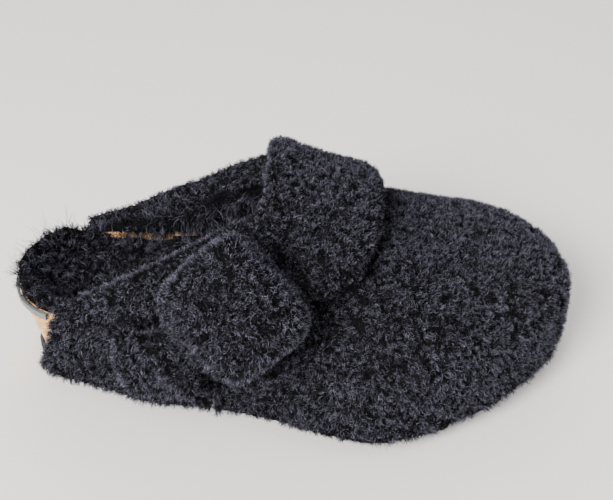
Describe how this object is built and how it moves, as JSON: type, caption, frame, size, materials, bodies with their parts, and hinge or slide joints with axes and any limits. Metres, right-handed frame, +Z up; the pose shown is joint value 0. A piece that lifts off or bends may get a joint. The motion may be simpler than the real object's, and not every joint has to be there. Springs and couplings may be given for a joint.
{
  "type": "fluffy house slipper",
  "caption": "Right backless clog slipper with a curly shearling upper, cork footbed and an instep strap fastened by a covered buckle.",
  "frame": {"origin": "on the ground, in the middle of the plain patch under the middle of the sole", "axes": "+X towards the toe, +Y towards the inner side of the foot, +Z up"},
  "size_m": [0.2585, 0.1543, 0.1032],
  "materials": {
    "shearling_outer": "charcoal curly shearling pile",
    "shearling_lining": "near-black long shearling pile",
    "sole_foam": "black moulded foam",
    "cork": "granular cork",
    "jute": "woven jute",
    "binding_leather": "grey-green smooth edge strip",
    "loop_leather": "black leather",
    "buckle_metal": "satin metal"
  },
  "bodies": {
    "shoe": {"outsole": "sole_foam", "lower_jute": "jute", "cork_footbed": "cork", "upper_jute": "jute", "heel_binding": "binding_leather", "footbed_lining": "shearling_lining", "vamp_shell": "shearling_outer", "lateral_quarter": "shearling_outer", "medial_quarter": "shearling_outer", "vamp_lining": "shearling_lining", "lateral_lining": "shearling_lining", "medial_lining": "shearling_lining", "instep_strap": "shearling_outer", "anchor_loop": "loop_leather", "anchor_rivet_upper": "buckle_metal", "anchor_rivet_lower": "buckle_metal"},
    "buckle": {"buckle_frame": "buckle_metal", "cover_backing": "loop_leather", "buckle_cover": "shearling_outer"},
    "prong": {"buckle_prong": "buckle_metal"}
  },
  "joints": [
    {"name": "buckle_lift", "type": "hinge", "parent": "shoe", "child": "buckle", "pos_m": [-0.03255, -0.05855, 0.05671], "axis": [0.6652, -0.3811, -0.6421], "range_deg": [0, 25]},
    {"name": "prong_lift", "type": "hinge", "parent": "buckle", "child": "prong", "pos_m": [-0.03255, -0.05855, 0.05671], "axis": [0.6652, -0.3811, -0.6421], "range_deg": [0, 7]}
  ]
}
